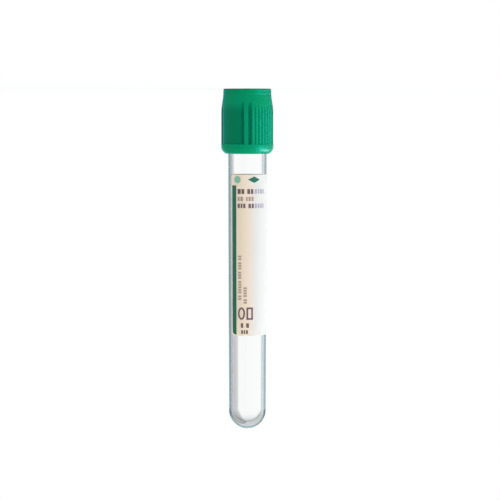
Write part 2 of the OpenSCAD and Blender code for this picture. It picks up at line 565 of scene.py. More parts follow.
@dataclass(frozen=True)
class ClearPlastic:
    """Clear moulded plastic, a little cool, with painted shade that turns it grey towards its edges, where
    darker surroundings would show through.

    Attributes:
        face: Colour where the wall is looked at squarely.
        edge: Colour of the painted shade where the wall is looked at along its surface.
        outside_painted_shade: Slants at which the outside begins to look grey and has the edge colour.
        bore_painted_shade: The same for the bore; a slant is 0 squarely and 1 along the surface.
        side_name: Name of the mesh attribute that is 1 on the outside and 0 in the bore.
        ior: Index of refraction.
        roughness: Roughness of the moulded surface.
    """

    face: Color = (0.998, 0.999, 1.0)
    edge: Color = (0.16, 0.245, 0.28)
    outside_painted_shade: Point = (0.36, 0.61)
    bore_painted_shade: Point = (0.47, 0.78)
    side_name: str = "outside"
    ior: float = 1.46
    roughness: float = 0.02

    def material(self) -> bpy.types.Material:
        """Build the material.

        Returns:
            A smooth clear shader that lets light through in its shadow.
        """
        bench = MaterialBench("clear_plastic")
        side = bench.attribute(self.side_name)
        start, end = (bench.between(side, *slants) for slants in zip(self.bore_painted_shade, self.outside_painted_shade))
        slant = bench.node("ShaderNodeLayerWeight", 0.5, output="Facing")
        # Painted shade: the base colour greys at grazing slants.
        wall = bench.plastic(
            Base_Color=bench.blend(bench.eased(slant, start, end), self.face, self.edge),
            Roughness=self.roughness,
            IOR=self.ior,
            Transmission_Weight=1.0,
            Normal=bench.relief(bench.grain(size=6.0, detail=1.0), depth=0.004),
        )
        return bench.done(bench.shown_to("Shadow", bench.node("ShaderNodeBsdfTransparent"), wall))


@dataclass(frozen=True)
class LabelPaper:
    """Coated label paper whose printed tone runs from cream at its start to white, partly print and partly
    painted light and shade.

    Attributes:
        cream: Colour at the label's start, a cream made brighter than the paper as painted light on the
            side away from the key lamp.
        white: Colour further round, made darker than white paper as painted shade where the key lamp falls.
        uv_name: Name of the UV map that runs once round the label.
        fade: How the cream gives way to white, by the share of the wrap, across the front.
        glow: How much of its light the paper scatters inside and lets through.
    """

    cream: Color = (0.95, 0.73, 0.54)
    white: Color = (0.687, 0.65, 0.612)
    uv_name: str = "wrap"
    fade: Ramp = Ramp(0.135, 0.295)
    glow: float = 0.5

    def material(self) -> bpy.types.Material:
        """Build the material.

        Returns:
            A satin paper shader with a fine fibre grain.
        """
        bench = MaterialBench("label_paper")
        wrapped = bench.parts(bench.node("ShaderNodeUVMap", output="UV", uv_map=self.uv_name))[0]
        # Painted light and shade: the paper is brighter where the label turns away from the key lamp and
        # darker where it faces it.
        print_tone_and_painted_light = bench.blend(bench.eased(wrapped, *self.fade), self.cream, self.white)
        fibres = bench.between(bench.grain(size=0.5, detail=6.0), 0.97, 1.03)
        paper = bench.plastic(
            Base_Color=bench.tinted(print_tone_and_painted_light, fibres),
            Roughness=0.55,
            Specular_IOR_Level=0.35,
            Subsurface_Weight=self.glow,
            Subsurface_Radius=(1.0, 0.95, 0.85),
            Subsurface_Scale=0.5 * MM,
            Normal=bench.relief(bench.grain(size=0.12, detail=4.0), depth=0.004),
        )
        return bench.done(paper)


@dataclass(frozen=True)
class PrintedInk:
    """One ink on the label, slightly uneven as a roller leaves it.

    Attributes:
        name: Name of the ink.
        full: Colour of the ink where it lies full.
        thin: Colour where it lies thin.
    """

    name: str
    full: Color
    thin: Color

    def material(self) -> bpy.types.Material:
        """Build the material.

        Returns:
            A satin ink shader.
        """
        bench = MaterialBench(f"ink_{self.name}")
        patches = bench.between(bench.grain(size=0.6, detail=5.0), 0.0, 1.0)
        tone = bench.blend(patches, self.full, self.thin)
        return bench.done(bench.plastic(Base_Color=tone, Roughness=0.48, Specular_IOR_Level=0.35))


@dataclass(frozen=True)
class ClosurePlastic:
    """Satin, slightly translucent moulded plastic that is darker in its grooves, partly from the thinner
    wall over the dark stopper and partly as painted shade.

    Attributes:
        crest: Colour on the crests and plain faces.
        groove: Colour in the deepest grooves, darker than the crests partly as painted shade.
        painted_shade_depth_name: Name of the mesh attribute that says how deep a point lies, from 0 to 1,
            which sets the painted groove shade.
        roughness: Range of the surface's roughness.
    """

    crest: Color = (0.001, 0.293, 0.103)
    groove: Color = (0.0003, 0.163, 0.055)
    painted_shade_depth_name: str = "groove_depth"
    roughness: Point = (0.25, 0.37)

    def material(self) -> bpy.types.Material:
        """Build the material.

        Returns:
            A shader with a soft inner glow and a fine moulded grain.
        """
        bench = MaterialBench("closure_plastic")
        # Partly painted shade: darker the deeper a point lies below the crests.
        tone = bench.blend(bench.attribute(self.painted_shade_depth_name), self.crest, self.groove)
        flow = bench.between(bench.grain(size=6.0, detail=2.0), 0.94, 1.06)
        shell = bench.plastic(
            Base_Color=bench.tinted(tone, flow),
            Roughness=bench.between(bench.grain(size=0.8, detail=4.0), *self.roughness),
            IOR=1.49,
            Specular_IOR_Level=0.9,
            Specular_Tint=(0.05, 0.55, 1.0, 1.0),
            Sheen_Weight=0.8,
            Sheen_Roughness=0.45,
            Sheen_Tint=(0.0, 0.3, 0.45, 1.0),
            Subsurface_Weight=0.12,
            Subsurface_Radius=(0.4, 1.0, 0.8),
            Subsurface_Scale=0.8 * MM,
            Normal=bench.relief(bench.grain(size=0.25, detail=3.0), depth=0.006),
        )
        return bench.done(shell)


@dataclass(frozen=True)
class StopperRubber:
    """Dull moulded rubber with a powdery grain.

    Attributes:
        color: Colour of the rubber.
        bloom: Colour where its surface has bloomed paler.
    """

    color: Color = (0.03, 0.075, 0.06)
    bloom: Color = (0.055, 0.11, 0.09)

    def material(self) -> bpy.types.Material:
        """Build the material.

        Returns:
            A rough shader.
        """
        bench = MaterialBench("stopper_rubber")
        cloud = bench.between(bench.grain(size=1.5, detail=5.0), 0.0, 1.0)
        rubber = bench.plastic(
            Base_Color=bench.blend(cloud, self.color, self.bloom),
            Roughness=0.72,
            Specular_IOR_Level=0.3,
            Normal=bench.relief(bench.grain(size=0.1, detail=4.0), depth=0.01),
        )
        return bench.done(rubber)


# ---------------------------------------------------------------- the pieces


@dataclass
class Tube:
    """The clear tube: drafted wall, round foot, open mouth with rounded edges.

    Attributes:
        length: Length from rim to tip.
        rim_r: Outer radius at the rim.
        foot_r: Outer radius where the round foot begins.
        wall: Thickness of the side wall.
        tip_wall: Thickness at the tip.
        edge: Rounding of the rim's edges.
    """

    length: float
    rim_r: float
    foot_r: float = 6.1
    wall: float = 1.05
    tip_wall: float = 1.8
    edge: float = 0.15

    @classmethod
    def of_frame(cls) -> Tube:
        """Take the length and the rim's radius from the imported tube."""
        low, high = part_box("tube")
        return cls(length=(high.z - low.z) / MM, rim_r=(high.x - low.x) / 2 / MM)

    def outer_r(self, z: float) -> float:
        """Give the outer radius of the drafted wall at a height."""
        return self.foot_r + (self.rim_r - self.foot_r) * (z - self.foot_r) / (self.length - self.foot_r)

    def outline(self) -> list[Point]:
        """List the outline of half the wall.

        Returns:
            The points from the outer tip over the rim to the inner tip.
        """
        bore_r = self.foot_r - self.wall
        bore_z = self.tip_wall + bore_r
        foot = arc((0, self.foot_r), self.foot_r, -90, 0, steps=40)
        rim = rounded(
            [
                Corner(self.foot_r, self.foot_r),
                Corner(self.rim_r, self.length, self.edge),
                Corner(self.rim_r - self.wall, self.length, self.edge),
                Corner(bore_r, bore_z),
            ]
        )[1:-1]
        bore = arc((0, bore_z), bore_r, 0, -90, steps=40)
        return foot + straight(foot[-1], rim[0]) + rim + straight(rim[-1], bore[0]) + bore

    def mark_outside(self, obj: bpy.types.Object) -> None:
        """Store on each point whether it lies on the outside of the wall, for the plastic's painted grey
        edge shade.

        Args:
            obj: The tube, upright and in millimetres.
        """
        marks = obj.data.attributes.new(ClearPlastic.side_name, "FLOAT", "POINT")
        for point, mark in zip(obj.data.vertices, marks.data):
            x, y, z = point.co
            reach = math.hypot(x, y, min(z - self.foot_r, 0.0))
            mark.value = float(reach > self.outer_r(max(z, self.foot_r)) - self.wall / 2)

    def build(self, stance: Stance) -> bpy.types.Object:
        """Make the tube in place of its plain solid.

        Args:
            stance: How the pieces stand.

        Returns:
            The tube.
        """
        made = lathe(self.outline(), columns=160, closed=False)
        obj = new_object("clear_tube", made, ClearPlastic().material())
        self.mark_outside(obj)
        stance.settle(obj, sharp_over=60)
        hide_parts("tube")
        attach(obj, Body.BARREL.value)
        return obj


@dataclass
class Label:
    """The paper label, wrapped round the drafted wall with a clear strip left open.

    Attributes:
        tube: The tube that carries it.
        foot: Height of its lower edge.
        length: Length along the tube.
        start: Angle of its first edge from the front.
        wrap: Angle that it wraps.
        thickness: Thickness of the paper.
        glue: Thickness of the glue under it.
        corner_r: Radius of its corners.
    """

    tube: Tube
    foot: float
    length: float
    start: float = -53.6
    wrap: float = 302.0
    thickness: float = 0.1
    glue: float = 0.02
    corner_r: float = 1.0

    @classmethod
    def of_frame(cls, tube: Tube, stance: Stance) -> Label:
        """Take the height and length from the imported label."""
        low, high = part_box("label")
        return cls(tube=tube, foot=stance.height - high.z / MM, length=(high.z - low.z) / MM)

    @property
    def middle_r(self) -> float:
        """Radius of the label's face half way up."""
        return self.face_r(self.foot + self.length / 2)

    @property
    def run(self) -> float:
        """Length of the wrap round the tube."""
        return math.radians(self.wrap) * self.middle_r

    def face_r(self, z: float) -> float:
        """Give the radius of the label's outer face at a height."""
        return self.tube.outer_r(z) + self.glue + self.thickness

    def columns(self, beside: int = 8, between: int = 150) -> list[float]:
        """List distances along the wrap: close together at the rounded corners, then even.

        Args:
            beside: Number of columns in a corner.
            between: Number of columns between the corners.

        Returns:
            The distances from the first edge to the last.
        """
        near = [self.corner_r * (1 - math.cos(math.pi / 2 * k / beside)) for k in range(beside)]
        even = [self.corner_r + (self.run - 2 * self.corner_r) * k / between for k in range(between + 1)]
        return near + even + [self.run - s for s in reversed(near)]

    def corner_rise(self, s: float) -> float:
        """Give how far the rounded corners cut into the label's height.

        Args:
            s: Distance along the wrap from the first edge.

        Returns:
            The cut at the lower edge there, which is the same at the upper edge.
        """
        inset = min(s, self.run - s)
        if inset >= self.corner_r:
            return 0.0
        return self.corner_r - math.sqrt(max(0.0, self.corner_r**2 - (self.corner_r - inset) ** 2))

    def on_face(self, s: float, t: float, proud: float) -> Vector:
        """Place a point on the label.

        Args:
            s: Distance along the wrap from the first edge.
            t: Height above the lower edge.
            proud: Height above the face, below zero into the paper.

        Returns:
            The upright place of the point.
        """
        z = self.foot + t
        return around(self.face_r(z) + proud, self.start + math.degrees(s / self.middle_r), z)

    def sheet(
        self, distances: Sequence[float], low: Edge, high: Edge, top: float, bottom: float, rows: int
    ) -> bmesh.types.BMesh:
        """Make a closed thin sheet on the label between two edges.

        Args:
            distances: Distances along the wrap of its columns.
            low: Its lower edge, as a height for each distance.
            high: Its upper edge.
            top: Height of its outer face above the label's face.
            bottom: Height of its inner face.
            rows: Number of faces along the tube.

        Returns:
            The sheet, with a UV map that runs round the label.
        """
        made = bmesh.new()
        wrap_uv = made.loops.layers.uv.new(LabelPaper.uv_name)
        flat: dict[bmesh.types.BMVert, Point] = {}
        rings: list[Ring] = []
        for s in distances:
            heights = [low(s) + (high(s) - low(s)) * k / rows for k in range(rows + 1)]
            section = [(t, top) for t in heights] + [(t, bottom) for t in reversed(heights)]
            ring = [made.verts.new(self.on_face(s, t, proud)) for t, proud in section]
            flat.update((vert, (s / self.run, t / self.length)) for vert, (t, _) in zip(ring, section))
            rings.append(ring)
        skin(made, rings, closed=False)
        for ring in (rings[0], rings[-1]):
            for k in range(rows):
                made.faces.new([ring[k], ring[k + 1], ring[-k - 2], ring[-k - 1]])
        bmesh.ops.recalc_face_normals(made, faces=made.faces)
        for face in made.faces:
            for loop in face.loops:
                loop[wrap_uv].uv = flat[loop.vert]
        return made

    def build(self, stance: Stance) -> bpy.types.Object:
        """Make the label in place of its plain solid.

        Args:
            stance: How the pieces stand.

        Returns:
            The label.
        """

        def upper(s: float) -> float:
            """Give the height of the upper edge at a distance along the wrap."""
            return self.length - self.corner_rise(s)

        made = self.sheet(self.columns(), self.corner_rise, upper, top=0.0, bottom=-self.thickness, rows=24)
        obj = new_object("paper_label", made, LabelPaper().material())
        stance.settle(obj, sharp_over=40)
        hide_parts("label")
        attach(obj, Body.BARREL.value)
        return obj


@dataclass(frozen=True)
class Mark:
    """One printed bar, in the label's own flat coordinates.

    Attributes:
        s: Distance of its middle along the wrap.
        t: Height of its middle above the label's lower edge.
        width: Size along the wrap.
        height: Size along the tube.
    """

    s: float
    t: float
    width: float
    height: float


@dataclass(frozen=True)
class GreekedLine:
    """One line of bars across the label, in place of small print.

    Attributes:
        ink: Ink of the bars.
        s: Distance along the wrap at which the line begins.
        t: Height of its middle above the label's lower edge.
        height: Size of the bars along the tube.
        words: Widths of the bars, word by word.
        letter_gap: Gap between two bars of a word.
        word_gap: Further gap between two words.
    """

    ink: Ink
    s: float
    t: float
    height: float
    words: Sequence[Sequence[float]]
    letter_gap: float = 0.28
    word_gap: float = 0.75

    def marks(self) -> list[Mark]:
        """List the bars of the line.

        Returns:
            The bars in order.
        """
        marks = []
        s = self.s
        for word in self.words:
            for width in word:
                marks.append(Mark(s + width / 2, self.t, width, self.height))
                s += width + self.letter_gap
            s += self.word_gap
        return marks


@dataclass
class LabelPrint:
    """Everything printed on the label: the edge stripe, two plain motifs and greeked lines.

    Attributes:
        label: The label that carries it.
        thickness: Height of the ink's face above the paper.
        lift: Height of its underside above the paper.
        stripe: Distances of the stripe's two edges along the wrap.
        stripe_foot: Distance of the stripe from the label's lower edge.
        stripe_cut: How fast its lower end is cut away towards its first edge, per square mm.
        stripe_top: Height of its upper end above the label's lower edge.
        text_from: Distance along the wrap at which the lines across the label begin.
        glare_paled_from: Distance at which the upper lines go on in paler ink, a painted glare that washes
            the print out on the lit side.
        head_row: Height of the two motifs at the label's head.
        foot_row: Height of the oval and the frame near its foot.
        stroke: Width of the oval's and the frame's strokes.
    """

    label: Label
    thickness: float = 0.012
    lift: float = 0.001
    stripe: Point = (0.4, 2.15)
    stripe_foot: float = 0.35
    stripe_cut: float = 0.5 / 2.9
    stripe_top: float = 49.85
    text_from: float = 2.7
    glare_paled_from: float = 8.5
    head_row: float = 51.75
    foot_row: float = 7.4
    stroke: float = 0.58

    def lines_across(self) -> list[GreekedLine]:
        """List the lines across the label.

        Returns:
            Three lines at its head, two of them with an end in paler ink as painted glare, and two at its
            foot.
        """
        return [
            GreekedLine(Ink.BROWN, self.text_from, 47.85, 1.6, [(1.1, 0.9), (0.9, 0.8)]),
            # The second and fifth lines carry the brown print on in paler ink, as painted glare on the lit
            # side.
            GreekedLine(Ink.PAINTED_GLARE_BROWN, self.glare_paled_from, 47.85, 1.5, [(0.9, 0.6, 0.8, 0.6)]),
            GreekedLine(Ink.TAN, self.text_from, 45.4, 1.4, [(0.7, 0.9), (0.5, 0.7, 0.7)]),
            GreekedLine(Ink.BROWN, self.text_from, 43.1, 1.45, [(0.8, 0.6, 0.7), (0.8, 0.7)]),
            GreekedLine(Ink.PAINTED_GLARE_BROWN, self.glare_paled_from, 43.1, 1.45, [(0.8, 0.7, 0.8, 0.6)]),
            GreekedLine(Ink.BROWN, 3.8, 3.45, 1.5, [(0.8,), (0.9,)]),
            GreekedLine(Ink.BROWN, 3.9, 1.25, 1.25, [(0.6, 0.5, 0.6)]),
        ]

    def side_lines(self) -> list[Mark]:
        """List the small bars of two lines that run along the tube, letter by letter.

        Returns:
            The bars, from the top of each line down.
        """
        marks = []
        across, letter, gap, space = 1.1, 0.58, 0.27, 0.55
        for s, t, words in ((3.4, 26.6, (2, 3, 3, 5, 2)), (5.3, 16.1, (4, 2))):
            for letters in words:
                for _ in range(letters):
                    marks.append(Mark(s, t - letter / 2, across, letter))
                    t -= letter + gap
                t -= space
        return marks

    def frame_marks(self) -> list[Mark]:
        """List the four bars of a small upright frame.

        Returns:
            Its two sides and its two ends.
        """
        s, width, height = 6.8, 2.2, 4.1
        aside, above = (width - self.stroke) / 2, (height - self.stroke) / 2
        sides = [Mark(s + shift, self.foot_row, self.stroke, height) for shift in (-aside, aside)]
        return sides + [Mark(s, self.foot_row + shift, width, self.stroke) for shift in (-above, above)]

    def marks_in(self, ink: Ink) -> list[Mark]:
        """List every bar that is printed in one ink.

        Args:
            ink: The ink.

        Returns:
            The bars.
        """
        marks = [mark for line in self.lines_across() if line.ink is ink for mark in line.marks()]
        if ink is Ink.BROWN:
            marks += self.frame_marks()
        if ink is Ink.TAN:
            marks += self.side_lines()
        return marks

    def bars(self, name: str, marks: Sequence[Mark], material: bpy.types.Material) -> bpy.types.Object:
        """Make bars by setting one thin block on a point for each mark and wrapping them on the label.

        Args:
            name: Name of the piece.
            marks: The bars.
            material: Their ink.

        Returns:
            The bars as one mesh.
        """
        made = bmesh.new()
        width = made.verts.layers.float.new("width")
        height = made.verts.layers.float.new("height")
        for mark in marks:
            point = made.verts.new((mark.s, mark.t, 0))
            point[width] = mark.width
            point[height] = mark.height
        obj = new_object(name, made, material)
        self.bar_tree(material).run_on(obj)
        return obj

    def bar_tree(self, material: bpy.types.Material) -> GeometryTree:
        """Build the tree that sets a block on each point and wraps it round the drafted wall.

        Args:
            material: The ink.

        Returns:
            The tree.
        """
        label = self.label
        tree = GeometryTree("wrapped_bars")
        thickness = tree.size("Ink thickness", self.thickness)
        middle_r = tree.size("Radius half way up", label.middle_r)
        foot_r = tree.size("Radius at the lower edge", label.face_r(label.foot))
        draft = tree.size("Growth of the radius per mm", label.face_r(1.0) - label.face_r(0.0))
        start = tree.size("First edge from the front", math.radians(label.start))
        foot = tree.size("Height of the lower edge", label.foot)
        block = tree.node("GeometryNodeMeshCube", inputs={"Vertices X": 7, "Vertices Y": 3})
        width, height = (
            tree.node("GeometryNodeInputNamedAttribute", inputs={"Name": name}, data_type="FLOAT")
            for name in ("width", "height")
        )
        scale = tree.vector(width, height, thickness)
        setting = {"Points": tree.geometry, "Instance": block, "Scale": scale}
        blocks = tree.realized(tree.node("GeometryNodeInstanceOnPoints", inputs=setting))
        s, t, proud = tree.parts(tree.position)
        turn = start + s / middle_r
        radius = t * draft + foot_r + proud + thickness * 0.5
        x, y = radius * tree.math("SINE", turn), radius * -tree.math("COSINE", turn)
        tree.finish(tree.moved(blocks, tree.vector(x, y, foot + t)), material)
        return tree

    def shape(
        self, name: str, material: bpy.types.Material, span: Point, low: Edge, high: Edge
    ) -> bpy.types.Object:
        """Print one solid shape between two edges.

        Args:
            name: Name of the piece.
            material: Its ink.
            span: Where it begins and ends along the wrap.
            low: Its lower edge, as a height for each distance.
            high: Its upper edge.

        Returns:
            The shape.
        """
        steps = 24
        middle, half = (span[0] + span[1]) / 2, (span[1] - span[0]) / 2
        distances = [middle - half * math.cos(math.pi * k / steps) for k in range(steps + 1)]
        made = self.label.sheet(distances, low, high, top=self.thickness, bottom=self.lift, rows=4)
        return new_object(name, made, material)

    def edge_stripe(self, material: bpy.types.Material) -> bpy.types.Object:
        """Print the stripe along the label's first edge.

        Args:
            material: Its ink.

        Returns:
            The stripe.
        """

        def low(s: float) -> float:
            """Follow the label's rounded corner, and cut the stripe's own end a little."""
            cut = self.stripe_cut * max(0.0, self.stripe[1] - s) ** 2
            return self.label.corner_rise(s) + self.stripe_foot + cut

        return self.shape("edge_stripe", material, self.stripe, low, lambda s: self.stripe_top)

    def disc(self, material: bpy.types.Material, s: float, t: float, r: float) -> bpy.types.Object:
        """Print a disc.

        Args:
            material: Its ink.
            s: Distance of its middle along the wrap.
            t: Height of its middle above the label's lower edge.
            r: Its radius.

        Returns:
            The disc.
        """

        def reach(at: float) -> float:
            """Give half the disc's height at a distance along the wrap."""
            return math.sqrt(max(1e-6, r**2 - (at - s) ** 2))

        span = (s - r, s + r)
        return self.shape("pale_disc", material, span, lambda at: t - reach(at), lambda at: t + reach(at))

    def lozenge(self, material: bpy.types.Material, s: float, t: float, half: Point) -> bpy.types.Object:
        """Print a lozenge.

        Args:
            material: Its ink.
            s: Distance of its middle along the wrap.
            t: Height of its middle above the label's lower edge.
            half: Half its width and half its height.

        Returns:
            The lozenge.
        """

        def reach(at: float) -> float:
            """Give half the lozenge's height at a distance along the wrap."""
            return half[1] * (1 - abs(at - s) / half[0])

        def upper(at: float) -> float:
            """Give the upper edge, a hair above the lower one at the two ends."""
            return t + reach(at) + self.lift

        span = (s - half[0], s + half[0])
        return self.shape("dark_lozenge", material, span, lambda at: t - reach(at), upper)

    def oval(self, material: bpy.types.Material, s: float, t: float, half: Point) -> bpy.types.Object:
        """Print an oval outline.

        Args:
            material: Its ink.
            s: Distance of its middle along the wrap.
            t: Height of its middle above the label's lower edge.
            half: Half its width and half its height.

        Returns:
            The oval.
        """
        made = bmesh.new()
        low, high = self.lift, self.thickness
        section = ((0.0, low), (0.0, high), (self.stroke, high), (self.stroke, low))
        steps = 48
        rings = []
        for k in range(steps):
            across, along = math.cos(2 * math.pi * k / steps), math.sin(2 * math.pi * k / steps)
            places = [
                self.label.on_face(s + (half[0] - within) * across, t + (half[1] - within) * along, proud)
                for within, proud in section
            ]
            rings.append([made.verts.new(place) for place in places])
        skin(made, rings, closed=True)
        bmesh.ops.recalc_face_normals(made, faces=made.faces)
        return new_object("printed_oval", made, material)

    def build(self, stance: Stance) -> list[bpy.types.Object]:
        """Make the whole print.

        Args:
            stance: How the pieces stand.

        Returns:
            The printed pieces.
        """
        ink = {each: PrintedInk(each.name.lower(), *each.value).material() for each in Ink}
        pieces = [
            self.edge_stripe(ink[Ink.DARK_GREEN]),
            self.disc(ink[Ink.LIGHT_GREEN], s=2.6, t=self.head_row, r=1.2),
            self.lozenge(ink[Ink.DARK_GREEN], s=8.3, t=self.head_row, half=(2.1, 1.05)),
            self.oval(ink[Ink.BROWN], s=4.0, t=self.foot_row, half=(1.25, 2.05)),
        ]
        for each in (Ink.BROWN, Ink.TAN, Ink.PAINTED_GLARE_BROWN):
            pieces.append(self.bars(f"{each.name.lower()}_bars", self.marks_in(each), ink[each]))
        for piece in pieces:
            stance.settle(piece, sharp_over=40)
            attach(piece, Body.BARREL.value)
        return pieces


@dataclass
class Shield:
    """The moulded shield: collar, shoulder, ribbed grip, band, and the space that holds the stopper.

    Attributes:
        tube_length: Height of the tube's rim.
        head: Height of the shield above the rim.
        skirt: How far the shield reaches down past the rim.
        skirt_r: Radius of the bore round the tube.
        foot_edge: Breadth of the flat ring at the band's foot.
        seat_r: Radius of the groove round the stopper's flange.
        flange: Height of that groove.
        mouth_r: Radius of the mouth.
        mouth_bevel: Size of the bevel round the mouth.
        edge: Rounding of the mouth's edges.
        seat_edge: Rounding of the edges under the stopper's flange.
        bore_edge: Rounding of the bore's lower edge.
        collar_top_r: Radius at the top of the collar.
        collar_foot_r: Radius at its foot.
        collar: Height of the collar.
        collar_rounding: Radius of its upper corner.
        shoulder: Height of the shoulder.
        shoulder_arc: Radius of the shoulder's arc.
        band_r: Radius of the band.
        band: Height of the band.
        band_rounding: Radius of its lower corner.
        ledge: Height of the step from the band's upper edge to the grip.
        crest_r: Radius over the crests of the ribs.
        groove: Depth of the grooves beside the wide ribs.
        panel: Depth of the smooth panels.
        panel_half: Half the angle of a panel.
        dividers: Number of wide ribs, with ribbed and smooth sides in turn between them.
        divider_half: Half the angle of a wide rib.
        divider_turn: Angle of the front wide rib.
        reeds: Number of fine ribs on a side.
        reed_pitch: Angle from one fine rib to the next.
        reed_r: Radius of a fine rib.
        reed_depth: Depth between the fine ribs.
        ring_line: Depth of the fine lines that run round the collar.
        ring_lines_below: How far below the top they run.
    """

    tube_length: float
    head: float
    skirt: float = 8.25
    skirt_r: float = 7.0
    foot_edge: float = 0.12
    seat_r: float = 7.2
    flange: float = 4.4
    mouth_r: float = 4.9
    mouth_bevel: float = 0.4
    edge: float = 0.12
    seat_edge: float = 0.06
    bore_edge: float = 0.1
    collar_top_r: float = 7.925
    collar_foot_r: float = 8.05
    collar: float = 3.1
    collar_rounding: float = 0.45
    shoulder: float = 4.4
    shoulder_arc: float = 36.0
    band_r: float = 8.675
    band: float = 3.15
    band_rounding: float = 2.5
    ledge: float = 0.06
    crest_r: float = 8.625
    groove: float = 0.45
    panel: float = 0.33
    panel_half: float = 32.6
    dividers: int = 4
    divider_half: float = 4.72
    divider_turn: float = -2.6
    reeds: int = 8
    reed_pitch: float = 8.4
    reed_r: float = 0.62
    reed_depth: float = 0.25
    ring_line: float = 0.04
    ring_lines_below: Point = (1.95, 0.95)

    @property
    def foot(self) -> float:
        """Height of the shield's lower edge."""
        return self.tube_length - self.skirt

    @property
    def top(self) -> float:
        """Height of its top."""
        return self.tube_length + self.head

    @property
    def collar_z(self) -> float:
        """Height of the collar's foot."""
        return self.top - self.collar

    @property
    def band_z(self) -> float:
        """Height of the band's upper edge."""
        return self.foot + self.band

    def shoulder_centre(self) -> Point:
        """Find the centre of the shoulder's arc, which runs from the crests to the collar's foot.

        Returns:
            Its distance from the axis and its height.
        """
        rise = self.crest_r - self.collar_foot_r
        chord = math.hypot(self.shoulder, rise)
        lean = math.atan2(rise, self.shoulder)
        sag = math.sqrt(self.shoulder_arc**2 - (chord / 2) ** 2)
        middle = ((self.crest_r + self.collar_foot_r) / 2, self.collar_z - self.shoulder / 2)
        return middle[0] - sag * math.cos(lean), middle[1] - sag * math.sin(lean)

    def outside(self) -> list[Point]:
        """List the outer wall from the band's foot to the collar's top, before the ribs are cut.

        Returns:
            The points, close together over the grip.
        """
        corner_r = self.band_r - self.band_rounding
        drop = math.sqrt(self.band_rounding**2 - max(0.0, self.skirt_r - corner_r) ** 2)
        first = math.degrees(math.acos((self.skirt_r + self.foot_edge - corner_r) / self.band_rounding))
        band = arc((corner_r, self.foot + drop), self.band_rounding, -first, 0, steps=12)
        lip = [(self.band_r - inward, self.band_z - below) for inward, below in ((0.0, 0.16), (0.01, 0.05))]
        grip_z = self.band_z + self.ledge
        centre = self.shoulder_centre()
        rows = 54
        grip = []
        for k in range(rows + 1):
            z = grip_z + (self.collar_z - grip_z) * k / rows
            shoulder = centre[0] + math.sqrt(self.shoulder_arc**2 - max(0.0, z - centre[1]) ** 2)
            grip.append((min(self.crest_r, shoulder), z))
        return band + lip + grip + self.ring_lines()

    def ring_lines(self) -> list[Point]:
        """List the collar's wall with two fine lines moulded round it.

        Returns:
            The points from the lower line to the upper one.
        """
        points = []
        section = ((-0.28, 0.0), (-0.12, 0.7), (0.0, 1.0), (0.12, 0.7), (0.28, 0.0))
        for below in self.ring_lines_below:
            for step, depth in section:
                z = self.top - below + step
                share = (z - self.collar_z) / self.collar
                wall = self.collar_foot_r + (self.collar_top_r - self.collar_foot_r) * share
                points.append((wall - depth * self.ring_line, z))
        return points

    def inside(self) -> list[Point]:
        """List the collar's edge, the mouth, the groove and the bore, down to the band's foot.

        Returns:
            The points, without the two that the outer wall ends and begins with.
        """
        flange_z = self.tube_length + self.flange
        shape = rounded(
            [
                Corner(self.collar_foot_r, self.collar_z),
                Corner(self.collar_top_r, self.top, self.collar_rounding),
                Corner(self.mouth_r + self.mouth_bevel, self.top, self.edge),
                Corner(self.mouth_r, self.top - self.mouth_bevel, self.edge),
                Corner(self.mouth_r, flange_z, self.edge),
                Corner(self.seat_r, flange_z, self.edge),
                Corner(self.seat_r, self.tube_length, self.seat_edge),
                Corner(self.skirt_r, self.tube_length, self.seat_edge),
                Corner(self.skirt_r, self.foot, self.bore_edge),
                Corner(self.skirt_r + self.foot_edge, self.foot),
            ]
        )
        return shape[1:-1]

    def rib_tree(self, material: bpy.types.Material) -> GeometryTree:
        """Build the tree that draws the grip's ribs, grooves and panels into the outer wall.

        Args:
            material: The shield's plastic.

        Returns:
            The tree. It moves points along their radius only.
        """
        centre = self.shoulder_centre()
        tree = GeometryTree("ribbed_grip")
        crest = tree.size("Crest radius", self.crest_r)
        groove = tree.size("Groove depth", self.groove)
        panel_depth = tree.size("Panel depth", self.panel)
        panel_half = tree.size("Half angle of a panel", self.panel_half)
        apart = tree.size("Angle between wide ribs", 360.0 / self.dividers)
        divider_half = tree.size("Half angle of a wide rib", self.divider_half)
        divider_turn = tree.size("Angle of the front wide rib", self.divider_turn)
        pitch = tree.size("Fine rib pitch", self.reed_pitch)
        reed_r = tree.size("Fine rib radius", self.reed_r)
        reed_depth = tree.size("Fine rib depth", self.reed_depth)
        reach = tree.size("Half angle of the fine ribs", self.reeds * self.reed_pitch / 2)
        first = tree.size("Shift of the fine ribs", 0.0 if self.reeds % 2 else self.reed_pitch / 2)
        band_z = tree.size("Top of the band", self.band_z)
        collar_z = tree.size("Foot of the collar", self.collar_z)
        arc_x = tree.size("Shoulder centre radius", centre[0])
        arc_z = tree.size("Shoulder centre height", centre[1])
        arc_r = tree.size("Shoulder arc radius", self.shoulder_arc)
        least_r = tree.size("Least radius of the outer wall", (self.seat_r + self.collar_foot_r) / 2)
        soft = tree.size("Softness of an edge in degrees", 0.5)
        valley = tree.size("Rounding between fine ribs", 0.05)
        fillet = tree.size("Rounding under the shoulder", 0.08)
        slack = tree.size("Slack at the collar", 0.001)

        def within(value: Wire, limit: Wire) -> Wire:
            """Give 1 inside an angle and 0 outside it, with a soft edge."""
            return tree.eased(value, limit + soft, limit - soft)

        def half_chord(radius: Wire, away: Wire) -> Wire:
            """Give how far a circle reaches to one side at a distance from its middle."""
            return tree.math("SQRT", tree.math("MAXIMUM", radius * radius - away * away, 0.0))

        x, y, z = tree.parts(tree.position)
        radius = tree.math("SQRT", x * x + y * y)
        turn = tree.math("DEGREES", tree.math("ARCTAN2", x, -y)) - divider_turn
        halfway = apart * 0.5
        from_rib = tree.math("PINGPONG", turn, halfway)
        from_side = halfway - from_rib
        reeded = tree.math("LESS_THAN", tree.math("FLOORED_MODULO", turn, apart * 2.0), apart)

